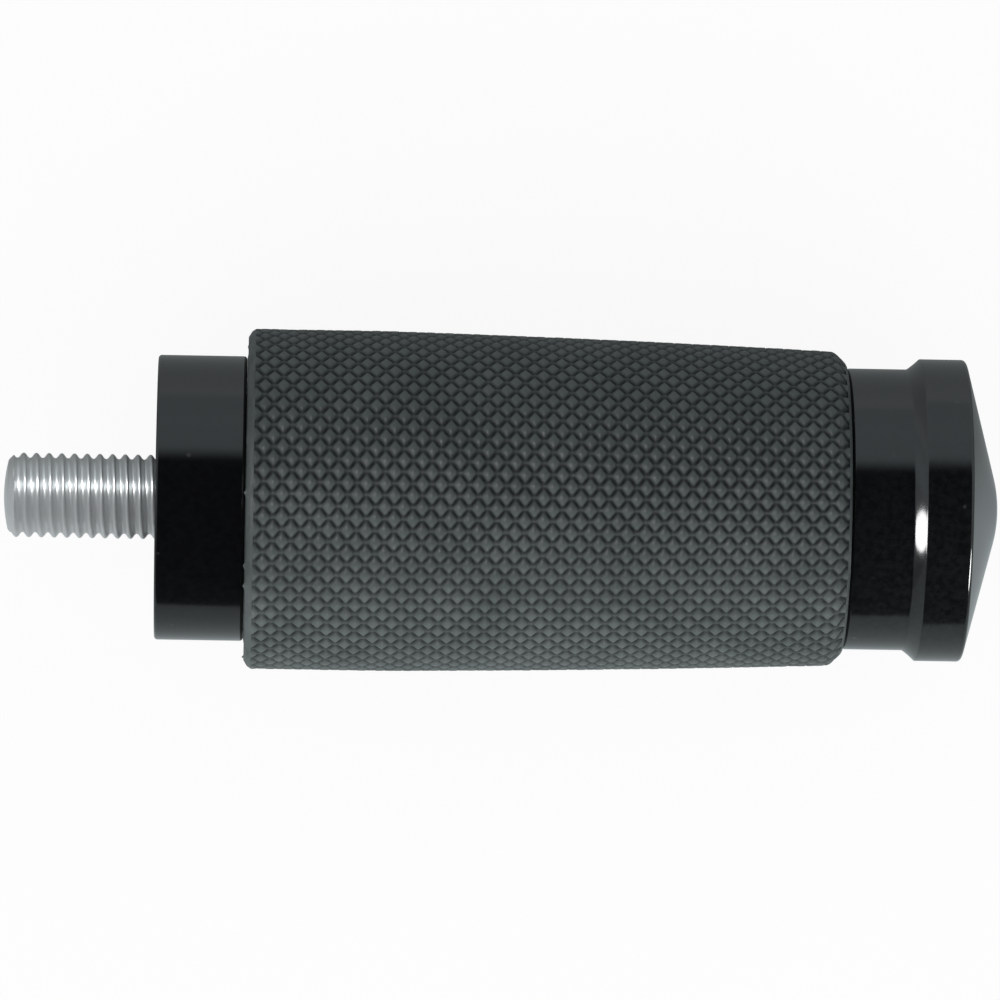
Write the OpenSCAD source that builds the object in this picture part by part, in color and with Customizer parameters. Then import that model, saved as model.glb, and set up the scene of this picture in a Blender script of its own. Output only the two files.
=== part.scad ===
// Foot peg on a threaded stud.
//
// A round rubber sleeve sits on an aluminium core between a plain collar and a flanged end cap. The stud
// screws into the core through the collar, so tightening it clamps the collar between the core and
// whatever the peg is fastened to.
//
// Frame: the origin is the centre of the collar's seating face, +X runs out along the peg to the cap's
// nose, the stud stands out towards -X, and +Z is up. All lengths are in millimetres.

/* [Stud] */
// Major diameter of the stud's thread
stud_d = 10; // [8:1:12]
// Pitch of the stud's thread
stud_pitch = 1.5; // [1:0.25:1.75]
// Length of stud that stands out of the collar
stud_reach = 18; // [12:1:30]
// Length of stud that is screwed into the core
stud_grip = 27; // [20:1:29]

/* [Collar] */
// Outer diameter of the collar
collar_d = 33.7; // [32:0.1:36]
// Width of the collar along the peg
collar_w = 10.5; // [9:0.5:14]
// Chamfer on the collar's edge that faces the sleeve
collar_chamfer = 0.4; // [0.2:0.1:2]
// Diameter of each dowel between the collar and the core
dowel_d = 2; // [1.5:0.1:2]
// Number of dowels
dowel_count = 2; // [1:1:4]

/* [Core] */
// Outer diameter of the core between its splines
core_d = 25; // [24:0.5:26]
// Diameter of the spigot that centres the core in the collar
spigot_d = 18; // [17:0.5:18]
// Number of splines that stop the sleeve turning
spline_count = 6; // [3:1:8]
// Width of each spline
spline_w = 3; // [2:0.1:4]
// Height of each spline above the core
spline_h = 1.7; // [1:0.1:2]
// Diameter of the screw that locks the stud
lock_screw_d = 4; // [3:1:5]

/* [Sleeve] */
// Largest outer diameter of the sleeve
sleeve_d = 40.3; // [38:0.1:44]
// Length of the sleeve
sleeve_len = 70.7; // [66:0.1:90]
// Length at full diameter before the sleeve begins to taper
sleeve_straight = 16.5; // [10:0.5:30]
// How much smaller the sleeve's radius is at the outer end of the taper
taper_drop = 1.5; // [0.5:0.1:2]
// Chamfer on the sleeve's edge by the collar
sleeve_chamfer = 1; // [0.5:0.1:2]
// Chamfer on the sleeve's edge by the cap
sleeve_end_chamfer = 1.4; // [0.5:0.1:2]

/* [End cap] */
// Diameter of the cap's neck
neck_d = 33.3; // [32:0.1:34]
// Length of the straight part of the neck
neck_w = 7.1; // [5:0.1:12]
// Slope of the step from the neck up to the flange
step_angle = 40; // [30:1:60]
// Diameter of the flange
flange_d = 35.8; // [35.2:0.1:40]
// Width of the flange's straight rim
flange_w = 4.8; // [3:0.1:8]
// Slope of the cap's conical face
cone_angle = 15; // [8:1:20]
// Radius of the nose at the middle of the cone
nose_r = 16; // [8:0.5:20]
// Diameter of the cap's screwed shank
shank_d = 16; // [14:1:16]
// Length of the cap's screwed shank
shank_len = 16; // [12:1:24]

/* [Hidden] */
$fn = 96;

// Gap left between neighbouring solids
gap = 0.05;
// Depth a cutter overshoots the face that it cuts
over = 1;
// Number of straight steps in a small rounded edge
edge_steps = 6;

// Stud: the thread's crest, root and pitch radii from its basic triangle
stud_r = stud_d / 2;
thread_root_r = stud_r - 0.6134 * stud_pitch;
thread_pitch_r = stud_r - 0.3248 * stud_pitch;
thread_crest = stud_pitch / 8;
thread_flank = (stud_r - thread_root_r) * tan(30);
tip_r = thread_root_r - 0.7;
tip_dome = 0.5;
thread_start = -stud_reach + tip_dome + (thread_root_r - tip_r);
thread_rings = floor((-thread_start) / stud_pitch);

// Collar and the socket that takes the core's spigot
collar_edge_r = 0.4;
stud_clearance = 0.25;
socket_floor = collar_w - 6;
dowel_len = 8;
dowel_circle = (core_d + spigot_d) / 4;

// Sleeve
sleeve_x = collar_w + 2 * gap;
sleeve_end = sleeve_x + sleeve_len;
taper_x = sleeve_x + sleeve_straight;
taper_end = sleeve_end - sleeve_end_chamfer;
taper_steps = 12;
sleeve_r = sleeve_d / 2;
spline_r = core_d / 2 + spline_h;

// Core
core_x = socket_floor + gap;
shoulder_x = collar_w + gap;
washer_t = 1;
core_end = sleeve_end - washer_t;
shank_hole_x = sleeve_end - shank_len - 4;
lock_screw_x = shoulder_x + 11;
lock_screw_len = 7;
lock_socket_af = 2;
lock_socket_depth = 2.2;

// Rings of round section
ring_d = 1.5;
groove_w = ring_d + 0.4;
groove_x = socket_floor + 2;
groove_r = spigot_d / 2 + gap - ring_d - 0.05;
cap_ring_r = shank_d / 2 + gap + ring_d / 2;
cap_pocket_r = cap_ring_r + ring_d / 2 + gap;
cap_pocket_depth = ring_d + 0.3;

// End cap
cap_x = sleeve_end + gap;
neck_edge = 0.5;
rim_edge_r = 0.5;

// The step up to the flange is a straight slope between a small cove and a rounded edge. Their radii are
// shares of its height.
step_up = (flange_d - neck_d) / 2;
cove_r = 0.4 * step_up;
flange_edge_r = 0.25 * step_up;
slope_up = step_up - (cove_r + flange_edge_r) * (1 - cos(step_angle));
cove_x = cap_x + neck_w;
flange_x = cove_x + (cove_r + flange_edge_r) * sin(step_angle) + slope_up / tan(step_angle);

// Points of an arc about [r, x], from angle a0 to angle a1, measured from the radial direction
function arc(c, r, a0, a1, steps) =
    [for (i = [0:steps]) let (a = a0 + (a1 - a0) * i / steps) c + r * [cos(a), sin(a)]];

// Points of one thread ring whose crest is centred on x: its two crest corners and the root after it
function thread_ring(x) =
    [[stud_r, x - thread_crest / 2],
     [stud_r, x + thread_crest / 2],
     [thread_root_r, x + thread_crest / 2 + thread_flank],
     [thread_root_r, x + stud_pitch - thread_crest / 2 - thread_flank]];

// Radius of the sleeve at a share t of its taper: it falls slowly at first and faster towards the cap
function taper_radius(t) = sleeve_r - taper_drop * (0.55 * t + 0.45 * t * t);

// Turns a profile of [radius, x] points about the peg's axis
module turned() {
    rotate([0, 90, 0]) rotate_extrude() children();
}

// A straight round bar along the peg's axis, from x0 to x1
module bar(r, x0, x1) {
    translate([x0, 0, 0]) rotate([0, 90, 0]) cylinder(r = r, h = x1 - x0);
}

// A ring of round section about the peg's axis
module round_ring(centre_r, x) {
    turned() translate([centre_r, x]) circle(d = ring_d, $fn = 32);
}

// Places its child once for each dowel
module at_dowels() {
    for (i = [0:dowel_count - 1])
        rotate([360 * i / dowel_count, 0, 0])
            translate([shoulder_x - dowel_len / 2, dowel_circle, 0])
                rotate([0, 90, 0]) children();
}

// Straight ribs along the core, or the grooves that take them when grow is more than 0
module splines(x0, x1, grow) {
    for (i = [0:spline_count - 1])
        rotate([360 * (i + 0.5) / spline_count, 0, 0])
            translate([x0, -spline_w / 2 - grow, 0])
                cube([x1 - x0, spline_w + 2 * grow, spline_r + grow]);
}

// Threaded rod. Its free end has rings at the thread's pitch, and the end inside the core is a plain bar
// at the pitch diameter.
module mounting_stud() {
    dome_r = (tip_r * tip_r + tip_dome * tip_dome) / (2 * tip_dome);
    dome_angle = asin(tip_r / dome_r);
    inner_end = core_x + stud_grip;
    first_crest = thread_start + thread_flank + thread_crest / 2;
    rings = [for (i = [0:thread_rings - 1]) each thread_ring(first_crest + i * stud_pitch)];
    color("#b9bcbd") turned()
        polygon(concat(
            arc([0, dome_r - stud_reach], dome_r, -90, dome_angle - 90, edge_steps),
            [[thread_root_r, thread_start]],
            rings,
            [[thread_pitch_r, rings[len(rings) - 1][1] + 0.3],
             [thread_pitch_r, inner_end - 0.7],
             [thread_pitch_r - 0.7, inner_end],
             [0, inner_end]]));
}

// Plain round collar that seats on the mount. The stud passes through it, and a socket centres the core.
module inner_collar() {
    r = collar_d / 2;
    hole_r = stud_r + stud_clearance;
    socket_r = spigot_d / 2 + gap;
    color("#17191b") difference() {
        turned()
            polygon(concat(
                [[hole_r, 0.4], [hole_r + 0.4, 0]],
                arc([r - collar_edge_r, collar_edge_r], collar_edge_r, -90, 0, edge_steps),
                [[r, collar_w - collar_chamfer],
                 [r - collar_chamfer, collar_w],
                 [socket_r, collar_w],
                 [socket_r, socket_floor],
                 [hole_r, socket_floor]]));
        at_dowels() cylinder(d = dowel_d + 2 * gap, h = dowel_len, $fn = 32);
    }
}

// Dowels that stop the collar turning on the core
module collar_dowels() {
    color("#c8cacb") at_dowels()
        translate([0, 0, gap]) cylinder(d = dowel_d, h = dowel_len - 2 * gap, $fn = 32);
}

// Seal between the core's spigot and the collar
module collar_o_ring() {
    color("#101112") round_ring(spigot_d / 2 + gap - ring_d / 2 - 0.02, groove_x + groove_w / 2);
}

// Aluminium core that carries the load. It is tapped for the stud at one end and for the cap at the other.
module core_tube() {
    tapped_r = thread_pitch_r + gap;
    color("#a9adb0") difference() {
        union() {
            bar(spigot_d / 2, core_x, shoulder_x + over);
            bar(core_d / 2, shoulder_x, core_end);
            splines(shoulder_x + 1.5, core_end - 1.5, 0);
        }
        bar(tapped_r, core_x - over, core_x + stud_grip + 2);
        bar(shank_d / 2 + gap, shank_hole_x, core_end + over);
        bar(cap_pocket_r, core_end - cap_pocket_depth, core_end + over);
        difference() {
            bar(spigot_d / 2 + over, groove_x, groove_x + groove_w);
            bar(groove_r, groove_x - over, groove_x + groove_w + over);
        }
        translate([lock_screw_x, 0, 0]) cylinder(d = lock_screw_d + 2 * gap, h = core_d, $fn = 48);
        at_dowels() cylinder(d = dowel_d + 2 * gap, h = dowel_len, $fn = 32);
    }
}

// Socket set screw that bears on the stud through the core's wall
module stud_lock_screw() {
    foot = thread_pitch_r + 2 * gap;
    color("#2b2d2f") translate([lock_screw_x, 0, foot]) difference() {
        union() {
            cylinder(d1 = lock_screw_d - 1, d2 = lock_screw_d, h = 0.5, $fn = 48);
            translate([0, 0, 0.5]) cylinder(d = lock_screw_d, h = lock_screw_len - 0.5, $fn = 48);
        }
        translate([0, 0, lock_screw_len - lock_socket_depth])
            cylinder(d = lock_socket_af / cos(30), h = lock_socket_depth + over, $fn = 6);
    }
}

// Moulded rubber sleeve: straight, then a slow taper towards the cap, with a chamfer at each end
module rubber_sleeve() {
    bore_r = core_d / 2 + gap;
    taper = [for (i = [0:taper_steps]) let (t = i / taper_steps)
        [taper_radius(t), taper_x + t * (taper_end - taper_x)]];
    end_r = taper_radius(1) - sleeve_end_chamfer;
    color("#2c3132") difference() {
        turned()
            polygon(concat(
                [[bore_r, sleeve_x],
                 [sleeve_r - sleeve_chamfer, sleeve_x],
                 [sleeve_r, sleeve_x + sleeve_chamfer]],
                taper,
                [[end_r, sleeve_end],
                 [bore_r, sleeve_end]]));
        splines(shoulder_x + 1.4, core_end - 1.4, gap);
    }
}

// Washer between the core's end and the cap's shoulder, which stops the cap unscrewing
module cap_lock_washer() {
    color("#b0b2b4") difference() {
        bar(core_d / 2 - 0.3, core_end + gap, sleeve_end);
        bar(cap_pocket_r, core_end - over, sleeve_end + over);
    }
}

// Seal around the cap's shank
module cap_o_ring() {
    color("#101112") round_ring(cap_ring_r, core_end - cap_pocket_depth / 2);
}

// Turned cap: a screwed shank, the neck, a sloped step up to the flange, and a low cone with a rounded nose
module end_cap() {
    neck_r = neck_d / 2;
    flange_r = flange_d / 2;
    shank_r = shank_d / 2;
    shank_x = cap_x - shank_len;
    rim_x = flange_x + flange_w;
    cone_r = flange_r - rim_edge_r + rim_edge_r * sin(cone_angle);
    cone_x = rim_x + rim_edge_r * cos(cone_angle);
    nose_edge_r = nose_r * sin(cone_angle);
    nose_x = cone_x + (cone_r - nose_edge_r) * tan(cone_angle) - nose_r * cos(cone_angle);
    color("#17191b") turned()
        polygon(concat(
            [[0, shank_x],
             [shank_r - 1, shank_x],
             [shank_r, shank_x + 1],
             [shank_r, cap_x],
             [neck_r - neck_edge, cap_x],
             [neck_r, cap_x + neck_edge]],
            arc([neck_r + cove_r, cove_x], cove_r, 180, 180 - step_angle, edge_steps),
            arc([flange_r - flange_edge_r, flange_x], flange_edge_r, -step_angle, 0, edge_steps),
            arc([flange_r - rim_edge_r, rim_x], rim_edge_r, 0, 90 - cone_angle, edge_steps),
            arc([0, nose_x], nose_r, 90 - cone_angle, 90, edge_steps)));
}

mounting_stud();
inner_collar();
collar_dowels();
collar_o_ring();
core_tube();
stud_lock_screw();
rubber_sleeve();
cap_lock_washer();
cap_o_ring();
end_cap();
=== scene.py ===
"""Looks of the foot peg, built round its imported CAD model.

The peg lies on a pale table and is seen from straight above. +X runs out to the cap's nose, +Y is up in
the picture, and +Z points at the camera. Lengths are in metres; MM turns millimetres into metres.
"""

import math

import bmesh
import bpy
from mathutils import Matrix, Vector


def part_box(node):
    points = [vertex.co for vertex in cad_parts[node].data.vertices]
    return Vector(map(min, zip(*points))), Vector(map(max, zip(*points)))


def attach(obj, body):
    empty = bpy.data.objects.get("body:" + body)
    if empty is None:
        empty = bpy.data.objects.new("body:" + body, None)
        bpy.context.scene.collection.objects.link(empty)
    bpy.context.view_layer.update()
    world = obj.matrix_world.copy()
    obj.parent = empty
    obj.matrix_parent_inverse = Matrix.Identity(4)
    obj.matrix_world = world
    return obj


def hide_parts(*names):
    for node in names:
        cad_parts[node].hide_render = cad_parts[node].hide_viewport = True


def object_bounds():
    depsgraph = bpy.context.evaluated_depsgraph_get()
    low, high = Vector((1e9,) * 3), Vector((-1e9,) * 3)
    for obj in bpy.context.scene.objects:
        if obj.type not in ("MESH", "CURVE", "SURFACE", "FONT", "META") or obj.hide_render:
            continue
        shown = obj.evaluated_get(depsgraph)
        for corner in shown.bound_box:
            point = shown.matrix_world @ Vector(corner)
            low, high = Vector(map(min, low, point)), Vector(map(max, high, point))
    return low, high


MM = 0.001
TURN = 2 * math.pi

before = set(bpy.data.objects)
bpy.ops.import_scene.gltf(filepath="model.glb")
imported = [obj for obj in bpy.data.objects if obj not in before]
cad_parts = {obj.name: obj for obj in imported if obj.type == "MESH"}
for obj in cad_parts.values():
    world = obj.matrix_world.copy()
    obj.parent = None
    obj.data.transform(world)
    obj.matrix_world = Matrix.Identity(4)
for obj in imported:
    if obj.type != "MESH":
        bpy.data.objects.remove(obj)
cad_low, cad_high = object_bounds()
scene = bpy.context.scene

# Sizes that the CAD boxes give
STUD_LOW, STUD_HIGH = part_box("mounting_stud")
COLLAR_LOW, COLLAR_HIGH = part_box("inner_collar")
SLEEVE_LOW, SLEEVE_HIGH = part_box("rubber_sleeve")
CAP_LOW, CAP_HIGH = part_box("end_cap")
STUD_R = STUD_HIGH.z
COLLAR_R = COLLAR_HIGH.z
SLEEVE_R = SLEEVE_HIGH.z
FLANGE_R = CAP_HIGH.z

# The CAD's gap between neighbours, which lies twice between the collar and the sleeve
GAP = (SLEEVE_LOW.x - COLLAR_HIGH.x) / 2

# Radius of the sleeve's bore, which fits over the core
BORE_R = 12.55 * MM

# How far a metric thread's pitch radius lies inside its crests, as a share of the pitch
PITCH_DROP = 0.3248

# Distance over which the peg's shade on the table fades
SHADE_REACH = 0.075

# Place near the peg's middle that most of the lamps point at, and where the table's faces meet
MIDDLE_X = 0.04


# ---------------------------------------------------------------- shapes

def arc(cx, cr, radius, start, end, steps):
    """Points (x, r) of an arc about (cx, cr). Angles are in degrees, from +r towards +x."""
    angles = [math.radians(start + (end - start) * i / steps) for i in range(steps + 1)]
    return [(cx + radius * math.sin(a), cr + radius * math.cos(a)) for a in angles]


def mesh_object(name, verts, faces, sharp_angle, weld=0.0):
    """A smooth-shaded object, with edges sharper than sharp_angle degrees kept crisp.

    Vertices closer than weld are joined, and what is left with no area is dropped. Every face ends up
    pointing outwards.
    """
    mesh = bpy.data.meshes.new(name)
    mesh.from_pydata(verts, [], faces)
    shape = bmesh.new()
    shape.from_mesh(mesh)
    if weld:
        bmesh.ops.remove_doubles(shape, verts=shape.verts, dist=weld)
        bmesh.ops.dissolve_degenerate(shape, edges=shape.edges, dist=weld * 0.1)
    bmesh.ops.recalc_face_normals(shape, faces=shape.faces)
    shape.to_mesh(mesh)
    shape.free()
    mesh.shade_smooth()
    mesh.set_sharp_from_angle(angle=math.radians(sharp_angle))
    obj = bpy.data.objects.new(name, mesh)
    scene.collection.objects.link(obj)
    return obj


def around(x, r, angle):
    """The point at this distance along the peg, radius and angle about its axis, from +Y towards +Z."""
    return (x, r * math.cos(angle), r * math.sin(angle))


def lathe(name, profile, segments, closed=False, sharp_angle=30):
    """Turns a profile of (x, r) points about the peg's axis. A point with r = 0 becomes one vertex.

    closed joins the profile's last point to its first.
    """
    verts, rings, faces = [], [], []
    for x, r in profile:
        if r == 0:
            rings.append([len(verts)] * segments)
            verts.append((x, 0, 0))
        else:
            rings.append([len(verts) + s for s in range(segments)])
            verts += [around(x, r, TURN * s / segments) for s in range(segments)]
    pairs = list(zip(rings, rings[1:]))
    if closed:
        pairs.append((rings[-1], rings[0]))
    for low, high in pairs:
        for s in range(segments):
            t = (s + 1) % segments
            faces.append(list(dict.fromkeys([low[s], high[s], high[t], low[t]])))
    return mesh_object(name, verts, faces, sharp_angle)


def collar_piece():
    """The plain collar: a fine round edge at its seating face and a fine chamfer by the sleeve.

    It has no holes for the collar's dowels, so they run into it, out of sight.
    """
    x0, x1, r = COLLAR_LOW.x, COLLAR_HIGH.x, COLLAR_R
    edge, chamfer = 0.4 * MM, 0.4 * MM
    hole_r, socket_r, socket_x = STUD_R + 0.25 * MM, 9.05 * MM, x1 - 6 * MM
    profile = [(x0 + edge, hole_r), (x0, hole_r + edge)]
    profile += arc(x0 + edge, r - edge, edge, -90, 0, 8)
    profile += arc(x1 - chamfer, r - chamfer, chamfer, 0, 90, 6)
    profile += [(x1, socket_r), (socket_x, socket_r), (socket_x, hole_r)]
    return lathe("collar", profile, 192, closed=True)


def cap_piece():
    """The end cap: a shank inside the core, the neck, a sloped step up to the flange, and a low cone."""
    nose_x = CAP_HIGH.x
    r = FLANGE_R
    neck_r, neck_w, neck_x = 16.65 * MM, 7.1 * MM, SLEEVE_HIGH.x + GAP
    shank_r, shank_edge = 8 * MM, 1 * MM
    neck_edge, rim_edge, rim_w = 0.5 * MM, 0.5 * MM, 4.8 * MM
    cone_angle, nose_r = 15, 16 * MM

    # the step is a slope, a few degrees hollow, between a small cove and a rounded edge
    step, step_angle, hollow = r - neck_r, 40, 5
    cove, edge = 0.4 * step, 0.25 * step
    foot, top, mean = (math.radians(a) for a in (step_angle - hollow, step_angle + hollow, step_angle))
    cove_x = neck_x + neck_w
    slope_up = step - cove * (1 - math.cos(foot)) - edge * (1 - math.cos(top))
    slope_r = slope_up / (math.cos(foot) - math.cos(top))
    foot_x, foot_r = cove_x + cove * math.sin(foot), neck_r + cove * (1 - math.cos(foot))
    flange_x = foot_x + slope_up / math.tan(mean) + edge * math.sin(top)

    profile = [(CAP_LOW.x, 0), (CAP_LOW.x, shank_r - shank_edge), (CAP_LOW.x + shank_edge, shank_r)]
    profile += [(neck_x, shank_r), (neck_x, neck_r - neck_edge)]
    profile += arc(neck_x + neck_edge, neck_r - neck_edge, neck_edge, -90, 0, 8)[1:]
    profile += arc(cove_x, neck_r + cove, cove, 180, 180 - step_angle + hollow, 10)
    profile += arc(foot_x - slope_r * math.sin(foot), foot_r + slope_r * math.cos(foot), slope_r,
                   180 - step_angle + hollow, 180 - step_angle - hollow, 12)[1:-1]
    profile += arc(flange_x, r - edge, edge, -step_angle - hollow, 0, 12)
    profile += arc(flange_x + rim_w, r - rim_edge, rim_edge, 0, 90 - cone_angle, 10)
    profile += arc(nose_x - nose_r, 0, nose_r, 90 - cone_angle, 90, 10)[:-1]
    profile += [(nose_x, 0)]
    return lathe("cap", profile, 256)


def stud_piece():
    """The stud with a right-hand thread, rolled so that its crests and roots are round, and a domed tip."""
    pitch, segments, samples = 1.5 * MM, 144, 16
    thread_depth = 0.6 * MM
    bar_r = STUD_R - PITCH_DROP * pitch
    tip_r, dome, end_chamfer = 4.15 * MM, 0.5 * MM, 0.7 * MM
    x_tip, x_thread_end, x_end = STUD_LOW.x, 3 * MM, STUD_HIGH.x
    dome_r = (tip_r ** 2 + dome ** 2) / (2 * dome)

    def thread_r(u):
        """Radius at a share u of one pitch: a wave whose flanks are a little straighter than a sine's."""
        wave = math.cos(TURN * (u - 0.5))
        return STUD_R - thread_depth * (0.5 - 0.5 * wave * (1.14 - 0.14 * wave * wave))

    def tip_limit(x):
        """Radius that the dome and the chamfer allow at x."""
        t = x - x_tip
        if t < dome:
            return math.sqrt(max(dome_r ** 2 - (dome_r - t) ** 2, 0))
        return tip_r + (t - dome)

    turns = math.ceil((x_thread_end - x_tip) / pitch) + 1
    verts, faces = [], []
    for s in range(segments + 1):
        column = []
        for k in range((turns + 1) * samples + 1):
            x = x_tip + pitch * (k / samples - 1 + s / segments)
            x = min(max(x, x_tip), x_thread_end)
            u = (x - x_tip) / pitch - s / segments
            column.append((x, min(thread_r(u % 1), tip_limit(x))))
        column += [(x_thread_end, bar_r), (x_end - end_chamfer, bar_r)]
        column += [(x_end, bar_r - end_chamfer), (x_end, 0)]
        verts += [around(x, r, TURN * s / segments) for x, r in column]
    length = len(verts) // (segments + 1)
    for s in range(segments):
        for k in range(length - 1):
            a = s * length + k
            faces.append((a, a + 1, a + length + 1, a + length))
    return mesh_object("stud", verts, faces, 50, weld=0.001 * MM)


# Tread of the sleeve: two families of round-bottomed grooves, one winding each way, that leave diamonds
# like small pillows. It has TREAD_STARTS diamonds around and TREAD_HALVES half diamonds along.
TREAD_STARTS = 45
TREAD_HALVES = 64
GROOVE_DEPTH = 0.46 * MM
PILLOW_DEPTH = 0.16 * MM

# A groove's half width, and the bridge over a crossing of two grooves: its height as a share of the
# groove's depth, and its half sizes around and along the peg. Half sizes are shares of a diamond.
GROOVE_HALF = 0.26
BRIDGE_HEIGHT, BRIDGE_HALF, BRIDGE_REACH = 0.85, 0.15, 0.4

# Lines of vertices follow the grooves, at these shares of the way across a diamond
SHARES = (0.0, 0.11, 0.26, 0.5, 0.74, 0.89)
SUB = len(SHARES)
WRAP = TREAD_STARTS * SUB

# How unevenly the diamonds are moulded: how far they may sink and tilt
SINK, TILT = 0.015 * MM, 0.03 * MM

# Where the mould left nibs of flash around the sleeve's edge by the collar, in degrees
NIB_ANGLES = (43, 69, 88, 114, 122, 168, 215, 262, 310, 341)

# Smooth ends of the sleeve beyond the tread
SLEEVE_CHAMFER = 1.0 * MM
END_CHAMFER = 1.4 * MM
END_LIP = 0.28 * MM


def sleeve_radius(x):
    """Radius over the tops of the diamonds: straight, then a slow taper, then the bevel by the cap."""
    taper_x, taper_end, taper_drop = SLEEVE_LOW.x + 16.5 * MM, SLEEVE_HIGH.x - END_CHAMFER, 1.5 * MM
    t = min(max((x - taper_x) / (taper_end - taper_x), 0), 1)
    soft = 0.4 * MM
    past = min(max(x - taper_end + soft, 0), 2 * soft)
    bevel = past * past / (4 * soft) + max(x - taper_end - soft, 0)
    return SLEEVE_R - taper_drop * (0.55 * t + 0.45 * t * t) - bevel


def noise(a, b, seed):
    """A repeatable value from -1 to 1 for a pair of whole numbers."""
    v = math.sin(a * 12.9898 + b * 78.233 + seed * 37.719) * 43758.5453
    return 2 * (v - math.floor(v)) - 1


def groove_share(s):
    """How far a groove has sunk, from 0 to 1, at a share s of the way across a diamond."""
    away = min(s, 1 - s) / GROOVE_HALF
    return 0.5 + 0.5 * math.cos(math.pi * min(away, 1))


def tread_depth(su, sv):
    """Depth below the diamond tops at shares su and sv across a diamond.

    Where two grooves cross, a bridge joins the diamonds that are neighbours along the peg.
    """
    groove = 1 - (1 - groove_share(su)) * (1 - groove_share(sv))
    cross_u, cross_v = (s if s < 0.5 else s - 1 for s in (su, sv))
    along, over = cross_u - cross_v, cross_u + cross_v
    groove *= 1 - BRIDGE_HEIGHT * math.exp(-(over / BRIDGE_HALF) ** 2 - (along / BRIDGE_REACH) ** 2)
    pillow = abs(su - 0.5) ** 2 + abs(sv - 0.5) ** 2
    return groove * (GROOVE_DEPTH - PILLOW_DEPTH / 2) + pillow * PILLOW_DEPTH


def at(value, angle):
    """A number, or the value of a function at this angle."""
    return value(angle) if callable(value) else value


def line_share(k):
    """The place of a family's line number k, in diamonds."""
    return k // SUB + SHARES[k % SUB]


class Sleeve:
    """The rubber sleeve: a tread of real diamonds between two smooth ends, and a keyed bore.

    u and v number the lines of the two families. The tread is a band of them, u running from v at the
    collar's end to v + SUB * TREAD_HALVES at the cap's, and the band repeats after WRAP lines.
    """

    def __init__(self):
        self.x0, self.x1 = SLEEVE_LOW.x, SLEEVE_HIGH.x
        self.tread_x0 = self.x0 + SLEEVE_CHAMFER - 0.05 * MM
        self.half_pitch = (self.x1 - END_LIP - self.tread_x0) / TREAD_HALVES
        self.last = SUB * TREAD_HALVES
        self.verts, self.depths, self.faces, self.index = [], [], [], {}

    def tread_vertex(self, u, v):
        """The tread's vertex where lines u and v cross."""
        turns = v // WRAP
        key = (u - v, v - turns * WRAP)
        if key not in self.index:
            u, v = u - turns * WRAP, v - turns * WRAP
            fu, fv = line_share(u), line_share(v)
            x = self.tread_x0 + self.half_pitch * (fu - fv)
            depth = tread_depth(fu % 1, fv % 1)
            if u % SUB and v % SUB:
                cell = ((u // SUB) - (v // SUB), (v // SUB) % TREAD_STARTS)
                depth += SINK * (1 + noise(*cell, 1))
                depth += TILT * noise(*cell, 2) * (fu % 1 - 0.5)
                depth += TILT * noise(*cell, 3) * (fv % 1 - 0.5)
            self.index[key] = len(self.verts)
            self.verts.append(around(x, sleeve_radius(x) - depth, TURN * (fu + fv) / (2 * TREAD_STARTS)))
            self.depths.append(depth / GROOVE_DEPTH)
        return self.index[key]

    def add_tread(self):
        """The tread's faces, cut off square at both ends of the band."""
        for v in range(WRAP):
            for u in range(v, v + self.last + 1):
                corners = [(u, v), (u + 1, v), (u + 1, v + 1), (u, v + 1)]
                if u == v:
                    corners.pop(3)
                elif u == v + self.last:
                    corners.pop(1)
                self.faces.append([self.tread_vertex(*corner) for corner in corners])

    def ring(self, radius, x, start):
        """A ring of vertices that line up with an end of the tread, unevenly dull like worn rubber."""
        first = len(self.verts)
        for v in range(WRAP):
            angle = start + TURN * line_share(v) / TREAD_STARTS
            self.verts.append(around(at(x, angle), at(radius, angle), angle))
            self.depths.append(0.25 + 0.2 * noise(v // 4, len(self.verts) // WRAP, 4))
        return list(range(first, first + WRAP))

    def bridge(self, low, high):
        """Faces between two rings."""
        for s in range(WRAP):
            t = (s + 1) % WRAP
            self.faces.append([low[s], high[s], high[t], low[t]])

    def add_end(self, edge, places, start=0.0):
        """Rings from the tread's edge inwards. places are (radius, x), each a number or a function."""
        for radius, x in places:
            ring = self.ring(radius, x, start)
            self.bridge(edge, ring)
            edge = ring
        return edge


def keyed(angle):
    """Radius of the sleeve's bore, which is deeper in six slots.

    The slots lie half a step round from the core's splines, so the splines run into the rubber, out of sight.
    """
    slot_r, slot_half, slots = 14.25 * MM, 1.6 * MM, 6
    from_slot = (angle % (TURN / slots)) - TURN / (2 * slots)
    return slot_r if abs(math.sin(from_slot)) * slot_r < slot_half else BORE_R


def flashed(angle):
    """Where the sleeve's sharp edge by the collar lies, with a few nibs of moulding flash."""
    nib_height, nib_half = 0.24 * MM, 0.024
    push = 0
    for degrees in NIB_ANGLES:
        away = (angle - math.radians(degrees) + math.pi) % TURN - math.pi
        push = max(push, nib_height * (1 - abs(away) / nib_half))
    return SLEEVE_LOW.x - push


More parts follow.
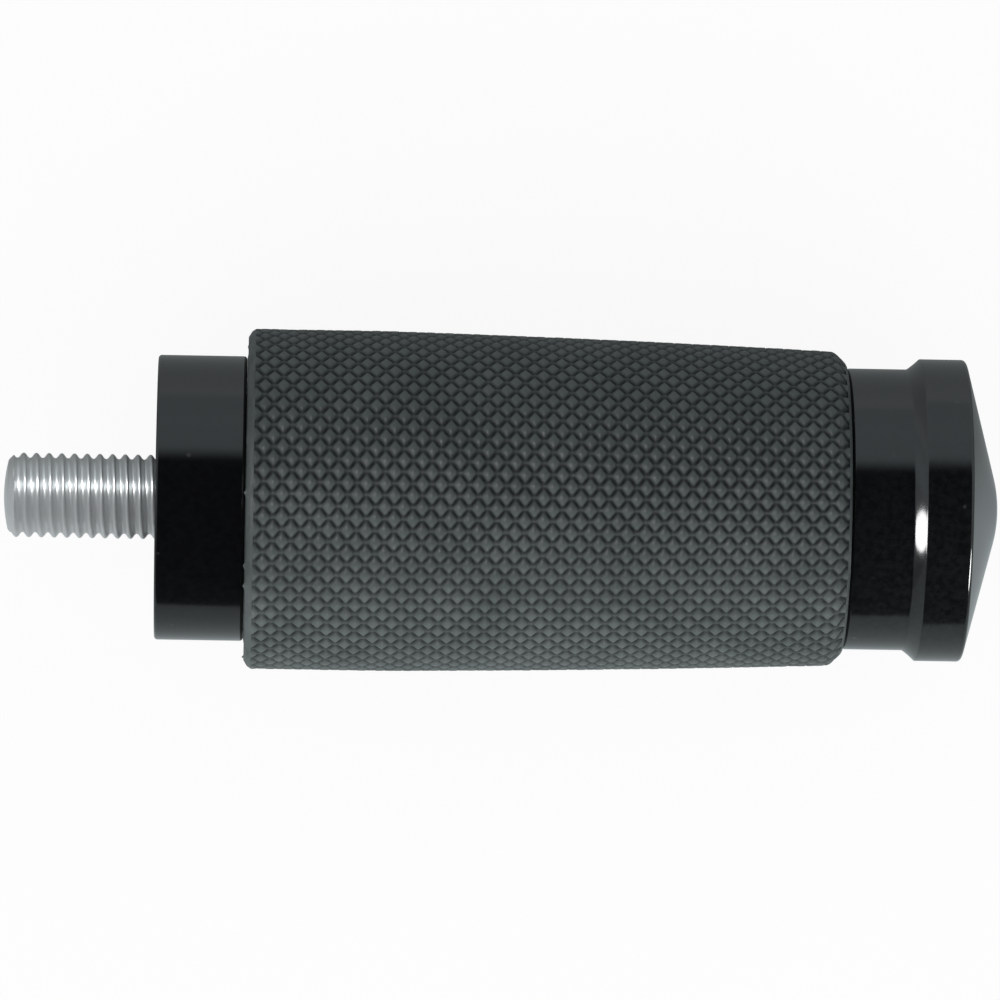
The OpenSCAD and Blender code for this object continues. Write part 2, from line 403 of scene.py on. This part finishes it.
def sleeve_piece():
    """The rubber sleeve, built from its tread, its two ends and its bore."""
    sleeve = Sleeve()
    x0, x1 = sleeve.x0, sleeve.x1
    end_r, edge_r = sleeve_radius(x1), SLEEVE_R - SLEEVE_CHAMFER
    # the rubber all but touches the collar, so no light comes through the joint
    touch_x = COLLAR_HIGH.x + 0.01 * MM
    # the bore is round for a short way in from each end, and keyed between
    lip, key_x = 1.3 * MM, 1.4 * MM
    sleeve.add_tread()
    starts = [sleeve.tread_vertex(v, v) for v in range(WRAP)]
    ends = [sleeve.tread_vertex(v + sleeve.last, v) for v in range(WRAP)]
    low = sleeve.add_end(starts, [
        (SLEEVE_R - 0.05 * MM, x0 + SLEEVE_CHAMFER - 0.16 * MM),
        (SLEEVE_R - 0.34 * MM, x0 + 0.42 * MM),
        (edge_r + 0.1 * MM, x0 + 0.08 * MM),
        (edge_r - 0.02 * MM, flashed),
        (edge_r - 0.3 * MM, x0),
        (COLLAR_R + 0.3 * MM, x0),
        (COLLAR_R - 0.2 * MM, touch_x),
        (BORE_R, touch_x),
        (BORE_R, x0 + lip),
        (keyed, x0 + key_x)])
    half_turn = TURN * TREAD_HALVES / (2 * TREAD_STARTS)
    high = sleeve.add_end(ends, [
        (end_r + 0.32 * MM, x1 - 0.36 * MM),
        (end_r + 0.1 * MM, x1 - 0.12 * MM),
        (end_r - 0.12 * MM, x1),
        (BORE_R, x1),
        (BORE_R, x1 - lip),
        (keyed, x1 - key_x)], half_turn)
    # the cap's rings are turned by half the tread's length, so the bore joins vertices at equal angles
    offset = SUB * TREAD_HALVES // 2
    sleeve.bridge([high[(s - offset) % WRAP] for s in range(WRAP)], low)
    obj = mesh_object("sleeve", sleeve.verts, sleeve.faces, 62)
    groove = obj.data.attributes.new("groove", "FLOAT", "POINT")
    groove.data.foreach_set("value", sleeve.depths)
    return obj


# ---------------------------------------------------------------- materials

class Nodes:
    """A short way to write a node tree."""

    def __init__(self, tree):
        self.tree = tree
        tree.nodes.clear()

    def add(self, kind, inputs=None, **settings):
        node = self.tree.nodes.new(kind)
        for key, value in settings.items():
            setattr(node, key, value)
        for key, value in (inputs or {}).items():
            if isinstance(value, bpy.types.NodeSocket):
                self.tree.links.new(value, node.inputs[key])
            else:
                node.inputs[key].default_value = value
        return node

    def math(self, operation, a, b=0.0, clamp=False):
        node = self.add("ShaderNodeMath", {0: a, 1: b}, operation=operation, use_clamp=clamp)
        return node.outputs[0]

    def blend(self, share, low, high):
        """A colour between low and high."""
        node = self.add("ShaderNodeMix", {0: share, 6: low, 7: high}, data_type="RGBA")
        return node.outputs[2]

    def range(self, value, from_low, from_high, to_low, to_high, soft=False):
        """value moved from one range to another and held inside it, with eased ends when soft."""
        node = self.add("ShaderNodeMapRange", {0: value, 1: from_low, 2: from_high, 3: to_low, 4: to_high},
                        interpolation_type="SMOOTHSTEP" if soft else "LINEAR")
        return node.outputs[0]

    def tone(self, level, tint=(1, 1, 1)):
        """A colour from a level that is itself worked out by nodes."""
        parts = {i: self.math("MULTIPLY", level, tint[i]) for i in range(3)}
        return self.add("ShaderNodeCombineXYZ", parts).outputs[0]

    def noise(self, position, scale, detail=4.0, stretch=(1, 1, 1)):
        mapped = self.add("ShaderNodeMapping", {0: position, "Scale": stretch}).outputs[0]
        return self.add("ShaderNodeTexNoise", {"Vector": mapped, "Scale": scale, "Detail": detail}).outputs[0]


def grey(value, tint=(1, 1, 1)):
    return (value * tint[0], value * tint[1], value * tint[2], 1)


def new_material(name):
    material = bpy.data.materials.new(name)
    material.use_nodes = True
    nodes = Nodes(material.node_tree)
    position = nodes.add("ShaderNodeTexCoord").outputs["Object"]
    return material, nodes, position


def finish_material(nodes, bsdf):
    nodes.add("ShaderNodeOutputMaterial", {0: bsdf.outputs[0]})


def rubber_material():
    """Moulded black rubber: a satin skin, mottled and a little worn, with duller grooves that are painted
    darker as shade.
    """
    material, nodes, position = new_material("moulded_rubber")
    groove = nodes.add("ShaderNodeAttribute", attribute_name="groove").outputs["Fac"]
    blotch = nodes.noise(position, 140, 4)
    grain = nodes.noise(position, 2600, 3)
    worn = nodes.range(blotch, 0.35, 0.7, 0, 1)
    skin = nodes.blend(worn, grey(0.036, (0.84, 1, 1.0)), grey(0.048, (0.86, 1, 1.0)))
    # painted shade: the deeper a groove, the darker its colour, standing in for the shade inside it; on the
    # smooth ends the same mask gives uneven wear, and it also roughens the grooves
    groove_shade_and_wear_mask = nodes.range(groove, 0.25, 1.0, 0, 1)
    colour = nodes.blend(groove_shade_and_wear_mask, skin, grey(0.008, (0.85, 1, 1)))
    shine = nodes.range(groove, 0.2, 0.9, 0.5, 0.16)
    rough = nodes.math("ADD", nodes.range(grain, 0.3, 0.7, 0.40, 0.52), nodes.math("MULTIPLY", groove_shade_and_wear_mask, 0.25))
    bump = nodes.add("ShaderNodeBump", {"Strength": 0.22, "Distance": 0.02 * MM, "Height": grain})
    bsdf = nodes.add("ShaderNodeBsdfPrincipled", {
        "Base Color": colour, "Roughness": rough, "IOR": 1.42, "Specular IOR Level": shine,
        "Normal": bump.outputs[0]})
    finish_material(nodes, bsdf)
    return material


def black_metal_material():
    """Gloss black anodised aluminium, with a fine grain, faint turning marks and specks of dust."""
    material, nodes, position = new_material("black_anodised")
    lines = nodes.noise(position, 900, 2, (1, 0.02, 0.02))
    cloud = nodes.noise(position, 160, 3)
    grain = nodes.noise(position, 1300, 3)
    specks = nodes.add("ShaderNodeTexVoronoi", {"Vector": position, "Scale": 300.0}).outputs["Distance"]
    dusty = nodes.range(nodes.noise(position, 210, 1), 0.55, 0.62, 0, 1)
    dust = nodes.math("MULTIPLY", nodes.range(specks, 0.04, 0.11, 1, 0), dusty)
    skin = nodes.blend(nodes.range(grain, 0.35, 0.65, 0, 1), grey(0.0012, (0.9, 1, 1.15)),
                       grey(0.0036, (0.9, 1, 1.1)))
    colour = nodes.blend(nodes.math("MULTIPLY", dust, 0.5), skin, grey(0.06))
    rough = nodes.math("ADD", nodes.range(cloud, 0.3, 0.7, 0.10, 0.14), nodes.math("MULTIPLY", dust, 0.4))
    bump = nodes.add("ShaderNodeBump", {"Strength": 0.03, "Distance": 0.01 * MM, "Height": lines})
    bsdf = nodes.add("ShaderNodeBsdfPrincipled", {
        "Base Color": colour, "Roughness": rough, "IOR": 1.5, "Normal": bump.outputs[0]})
    finish_material(nodes, bsdf)
    return material


def steel_material(name, value, rough_low, rough_high, metallic=1.0):
    """Steel with a cloudy finish and fine drag marks around the axis."""
    material, nodes, position = new_material(name)
    cloud = nodes.noise(position, 420, 4)
    drag = nodes.noise(position, 1500, 2, (1, 0.06, 0.06))
    colour = nodes.blend(cloud, grey(value, (0.96, 0.99, 1)), grey(value * 0.8, (0.95, 0.99, 1)))
    rough = nodes.range(cloud, 0.3, 0.7, rough_low, rough_high)
    bump = nodes.add("ShaderNodeBump", {"Strength": 0.12, "Distance": 0.02 * MM, "Height": drag})
    bsdf = nodes.add("ShaderNodeBsdfPrincipled", {
        "Base Color": colour, "Metallic": metallic, "Roughness": rough, "Normal": bump.outputs[0]})
    finish_material(nodes, bsdf)
    return material


def seal_material():
    """Smooth matt black seal rubber with a light bloom."""
    material, nodes, position = new_material("seal_rubber")
    bloom = nodes.noise(position, 500, 4)
    colour = nodes.blend(bloom, grey(0.012), grey(0.03))
    rough = nodes.range(bloom, 0.3, 0.7, 0.5, 0.7)
    bsdf = nodes.add("ShaderNodeBsdfPrincipled", {"Base Color": colour, "Roughness": rough})
    finish_material(nodes, bsdf)
    return material


def table_material():
    """Pale paper that mostly glows instead of being lit, as painted light. Each kind of ray sees the
    brightness that suits it.

    The camera sees nearly white paper. Gloss sees the paper dimmer, dimmest in the peg's shade on the +Y
    side, and nearly dark beyond the paper's edge on the -Y side. Matt surfaces see it bright on the -Y side
    and dim on the +Y side.
    """
    material, nodes, position = new_material("pale_paper")
    fibre = nodes.noise(position, 40, 5)
    paper = nodes.blend(fibre, grey(0.86, (1, 1, 0.995)), grey(0.90, (1, 1, 0.995)))
    diffuse = nodes.add("ShaderNodeBsdfDiffuse", {"Color": paper})
    glow_level, glow_share = 1.07, 0.85
    glow = nodes.add("ShaderNodeEmission", {"Color": grey(glow_level)})
    seen = nodes.add("ShaderNodeMixShader", {0: glow_share, 1: diffuse.outputs[0], 2: glow.outputs[0]})

    # for rays other than the camera's the paper is pure glow: a painted reflection for gloss, and painted
    # light for matt surfaces
    x, y, _ = nodes.add("ShaderNodeSeparateXYZ", {0: position}).outputs
    far_level, near_level, dark_level, peg_x = 0.9, 0.52, 0.06, 0.05
    dark_from, dark_to = -0.15, -0.26
    shade = nodes.math("EXPONENT", nodes.math("MULTIPLY", y, -1 / SHADE_REACH))
    far_side = nodes.math("MULTIPLY", nodes.math("SUBTRACT", 1.0, shade), far_level)
    behind = nodes.range(y, -0.005, 0.02, 0, 1, soft=True)
    endways = nodes.math("ABSOLUTE", nodes.math("SUBTRACT", x, peg_x))
    beyond = nodes.math("ADD", y, endways)
    near_side = nodes.range(beyond, dark_to, dark_from, dark_level, near_level, soft=True)
    gloss = nodes.blend(behind, nodes.tone(near_side, (0.9, 1, 1.02)), nodes.tone(far_side, (0.92, 1, 1.01)))

    matt_near, matt_far = 1.45, 0.3
    matt = nodes.blend(nodes.range(y, -0.03, 0.04, 0, 1, soft=True), grey(matt_near), grey(matt_far))
    path = nodes.add("ShaderNodeLightPath").outputs
    unseen = nodes.add("ShaderNodeEmission", {"Color": nodes.blend(path["Is Glossy Ray"], matt, gloss)})
    shaders = {0: path["Is Camera Ray"], 1: unseen.outputs[0], 2: seen.outputs[0]}
    mixed = nodes.add("ShaderNodeMixShader", shaders)
    finish_material(nodes, mixed)
    return material


# ---------------------------------------------------------------- studio

def build_world():
    """The room, as each kind of ray sees it. angle turns from straight up towards +Y, in degrees.

    Gloss sees one bright wall on the +Y side, a dark room elsewhere, and paler ends along the peg's axis.
    Matt surfaces are lit from both ends of the peg and from the -Y side. The camera sees plain white.
    """
    world = bpy.data.worlds.new("studio")
    scene.world = world
    world.use_nodes = True
    world.cycles.sampling_method = "NONE"
    nodes = Nodes(world.node_tree)
    direction = nodes.add("ShaderNodeTexCoord").outputs["Generated"]
    x, y, z = nodes.add("ShaderNodeSeparateXYZ", {0: direction}).outputs
    angle = nodes.math("MULTIPLY", nodes.math("ARCTAN2", y, z), 180 / math.pi)
    endways = nodes.math("ABSOLUTE", x)

    room_level, cap_gain = 0.058, 1.22
    wall = nodes.range(angle, 30, 43, 0, 1, soft=True)
    wall_colour = nodes.tone(nodes.range(angle, 66, 92, 0.98, 0.80), (0.9, 1.02, 1.06))
    ends = nodes.range(endways, 0.45, 0.8, 0, 1, soft=True)
    ends_level = nodes.range(angle, -75, -5, 0.35, 0.8)
    ends_level = nodes.math("MULTIPLY", ends_level, nodes.range(x, -0.5, 0.5, 1, cap_gain))
    ends_colour = nodes.tone(ends_level, (0.94, 1.0, 1.04))
    room = nodes.blend(ends, grey(room_level, (0.92, 1, 1.12)), ends_colour)
    gloss = nodes.blend(wall, room, wall_colour)

    base_level, ends_gain, low_gain = 0.2, 0.75, 0.9
    from_ends = nodes.math("MULTIPLY", nodes.math("POWER", endways, 2.0), ends_gain)
    low_side = nodes.math("MAXIMUM", nodes.math("MULTIPLY", y, -1.0), 0.0)
    matt = nodes.math("ADD", base_level, from_ends)
    matt = nodes.math("ADD", matt, nodes.math("MULTIPLY", low_side, low_gain))

    path = nodes.add("ShaderNodeLightPath").outputs
    colour = nodes.blend(path["Is Glossy Ray"], nodes.tone(matt, (1, 1, 1.01)), gloss)
    colour = nodes.blend(path["Is Camera Ray"], colour, grey(1.0))
    background = nodes.add("ShaderNodeBackground", {0: colour, 1: 1.0})
    nodes.add("ShaderNodeOutputWorld", {0: background.outputs[0]})


def lamp(name, place, target, size, power, piece, matt=True, gloss=True):
    """An oval soft lamp at place, aimed at target, that lights one piece. size is its two widths.

    matt and gloss say whether it adds to the piece's matt shading and to its reflections.
    """
    light = bpy.data.lights.new(name, "AREA")
    light.shape = "ELLIPSE"
    light.size, light.size_y = size
    light.energy = power
    obj = bpy.data.objects.new(name, light)
    obj.location = place
    obj.rotation_mode = "QUATERNION"
    obj.rotation_quaternion = (Vector(target) - Vector(place)).to_track_quat("-Z", "Y")
    lit = bpy.data.collections.new(name + "_lit")
    lit.objects.link(piece)
    obj.light_linking.receiver_collection = lit
    obj.visible_diffuse, obj.visible_glossy = matt, gloss
    scene.collection.objects.link(obj)


def build_table(material):
    """A wide round table top that the sleeve rests on."""
    radius, segments = 6.0, 96
    z = cad_low.z
    angles = [TURN * s / segments for s in range(segments)]
    verts = [(MIDDLE_X, 0, z)] + [(radius * math.cos(a), radius * math.sin(a), z) for a in angles]
    faces = [(0, 1 + s, 1 + (s + 1) % segments) for s in range(segments)]
    table = mesh_object("table", verts, faces, 180)
    table.data.materials.append(material)


def build_camera():
    """A long lens straight above the peg, a little towards its collar, and rolled so the peg dips right."""
    lens = bpy.data.cameras.new("camera")
    lens.lens = 305
    lens.clip_start, lens.clip_end = 0.01, 20
    camera = bpy.data.objects.new("camera", lens)
    shift_x, shift_y = -0.16 * MM, 0.35 * MM
    target = Vector(((cad_low.x + cad_high.x) / 2 + shift_x, shift_y, 0))
    distance, yaw, roll = 1003.5 * MM, math.radians(1.7), math.radians(0.98)
    back = Vector((-math.sin(yaw), 0, math.cos(yaw)))
    camera.location = target + back * distance
    camera.rotation_mode = "XYZ"
    camera.rotation_euler = (0, -yaw, 0)
    camera.rotation_euler.rotate_axis("Z", roll)
    scene.collection.objects.link(camera)
    scene.camera = camera


# ---------------------------------------------------------------- assembly

def show(obj, material, slot, *replaced):
    """Gives a new piece its material and lets it stand for the CAD nodes."""
    obj.data.materials.append(material)
    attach(obj, "root")
    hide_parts(*replaced)


black_metal = black_metal_material()
steel = steel_material("plated_steel", 0.6, 0.28, 0.36, metallic=0.35)
ground = steel_material("ground_steel", 0.58, 0.25, 0.35)
aluminium = steel_material("turned_aluminium", 0.75, 0.3, 0.42)
oxide = steel_material("black_oxide", 0.08, 0.3, 0.45)
seal = seal_material()

sleeve, collar, cap, stud = sleeve_piece(), collar_piece(), cap_piece(), stud_piece()
show(sleeve, rubber_material(), "sleeve_rubber", "rubber_sleeve")
show(collar, black_metal, "black_anodised", "inner_collar")
show(cap, black_metal, "black_anodised", "end_cap")
show(stud, steel, "stud_steel", "mounting_stud")

for node, material in {"core_tube": aluminium, "collar_dowels": ground, "cap_lock_washer": ground,
                       "stud_lock_screw": oxide, "collar_o_ring": seal, "cap_o_ring": seal}.items():
    for material_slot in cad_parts[node].material_slots:
        material_slot.material = material

build_table(table_material())
build_world()
build_camera()
middle = (MIDDLE_X, 0, 0)
lamp("left_lamp", (-0.8, -0.17, 0.23), middle, (0.34, 0.4), 8.5, cap)
lamp("right_lamp", (0.9, -0.75, 0.5), middle, (0.7, 0.4), 25, cap)
lamp("stud_lamp", (-0.1, 0.43, 0.72), (0, 0, 0), (1.4, 0.24), 27, stud, matt=False)
lamp("top_key", (-0.2, 0.12, 0.95), middle, (0.4, 0.26), 4.4, sleeve)
lamp("left_rim", (-0.8, 0.1, 0.3), (0, 0, 0), (0.3, 0.3), 1.6, sleeve)
lamp("low_fill", (MIDDLE_X, -1.2, 0.3), middle, (1.2, 0.4), 33, sleeve, gloss=False)
lamp("right_glint", (0.2, -0.9, 0.27), (0.08, 0, 0), (0.12, 0.12), 0.8, sleeve)

scene.view_settings.view_transform = "Standard"
